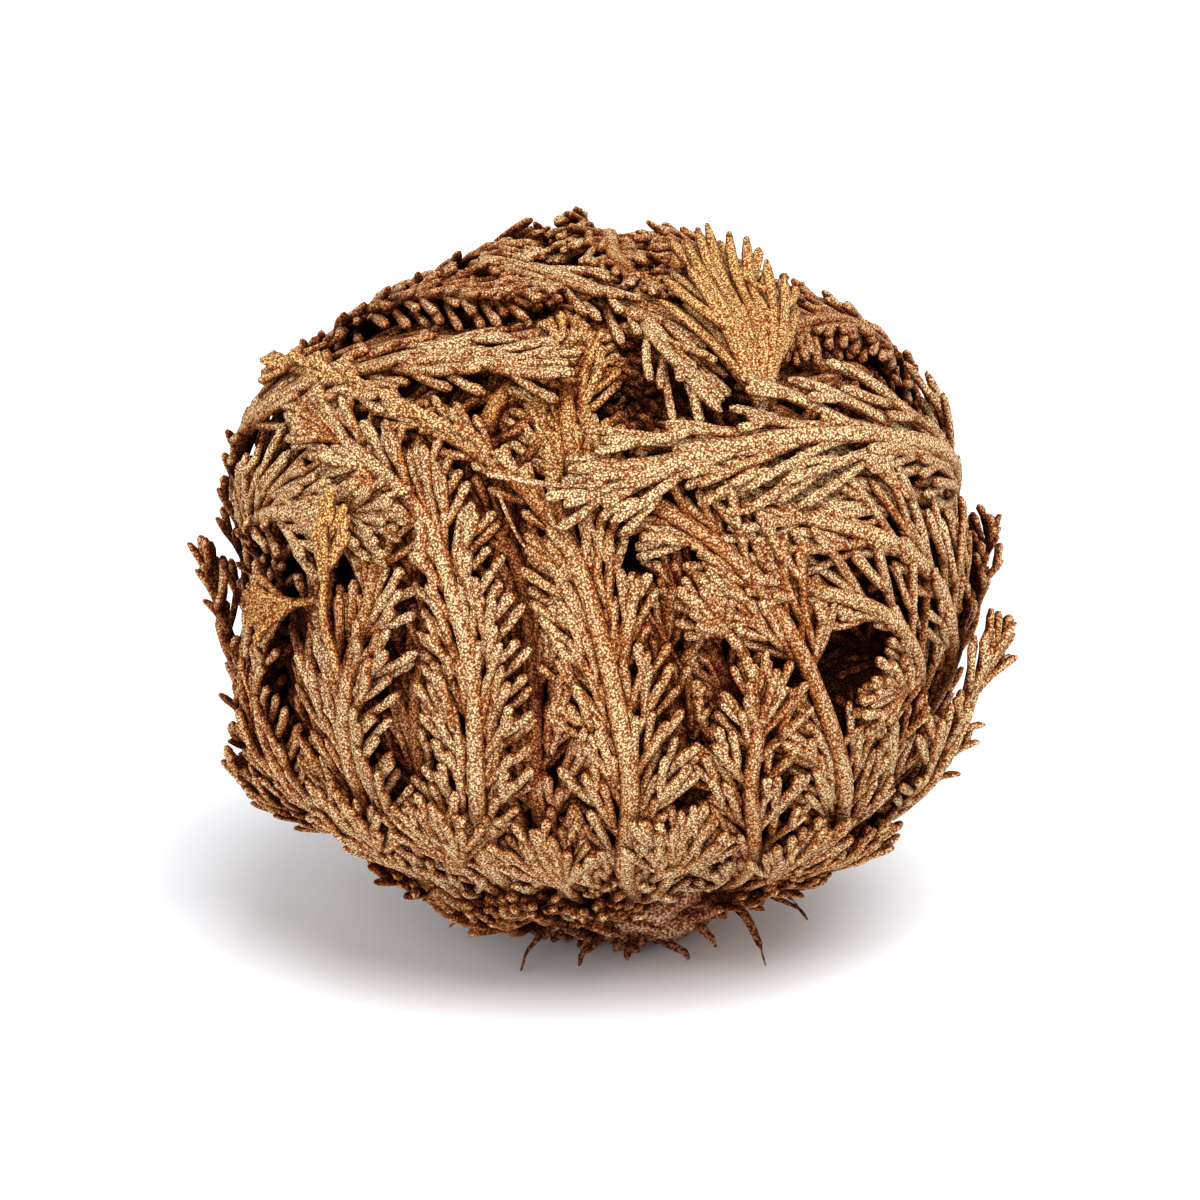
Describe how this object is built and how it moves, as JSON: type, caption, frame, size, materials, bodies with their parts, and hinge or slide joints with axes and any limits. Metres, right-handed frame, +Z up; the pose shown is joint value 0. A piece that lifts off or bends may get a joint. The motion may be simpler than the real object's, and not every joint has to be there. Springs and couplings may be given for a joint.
{
  "type": "rose of jericho",
  "caption": "Dry, rolled-up resurrection plant: scaly, fern-like fronds curl up from a short woody rootstock into a rounded ball.",
  "frame": {"origin": "centre of the flat spot under the rootstock that the plant rests on", "axes": "+Z up, -Y towards the front of the plant, +X to the right as seen from the front"},
  "size_m": [0.0945, 0.0863, 0.0869],
  "materials": {
    "frond_tan": "matte",
    "frond_amber": "matte",
    "frond_brown": "matte",
    "heart": "matte",
    "rootstock": "matte"
  },
  "bodies": {
    "root": {"rootstock": "rootstock", "heart": "heart", "front_frond_1": "frond_tan", "front_frond_2": "frond_tan", "front_frond_3": "frond_brown", "front_frond_4": "frond_tan", "front_frond_5": "frond_tan", "front_frond_6": "frond_tan", "front_frond_7": "frond_tan", "front_frond_8": "frond_brown", "front_frond_9": "frond_amber", "front_frond_10": "frond_brown", "right_frond_1": "frond_tan", "right_frond_2": "frond_tan", "right_frond_3": "frond_tan", "right_frond_4": "frond_tan", "right_frond_5": "frond_tan", "right_frond_6": "frond_brown", "right_frond_7": "frond_brown", "right_frond_8": "frond_tan", "right_frond_9": "frond_brown", "right_frond_10": "frond_tan", "left_frond_1": "frond_tan", "left_frond_2": "frond_brown", "left_frond_3": "frond_tan", "left_frond_4": "frond_brown", "left_frond_5": "frond_tan", "left_frond_6": "frond_brown", "left_frond_7": "frond_brown", "left_frond_8": "frond_brown", "left_frond_9": "frond_tan", "top_frond_1": "frond_amber", "top_frond_2": "frond_amber", "top_frond_3": "frond_brown", "top_frond_4": "frond_tan", "back_frond_1": "frond_tan", "back_frond_2": "frond_brown", "back_frond_3": "frond_tan", "back_frond_4": "frond_brown", "back_frond_5": "frond_brown", "back_frond_6": "frond_tan", "back_frond_7": "frond_brown"}
  },
  "joints": []
}
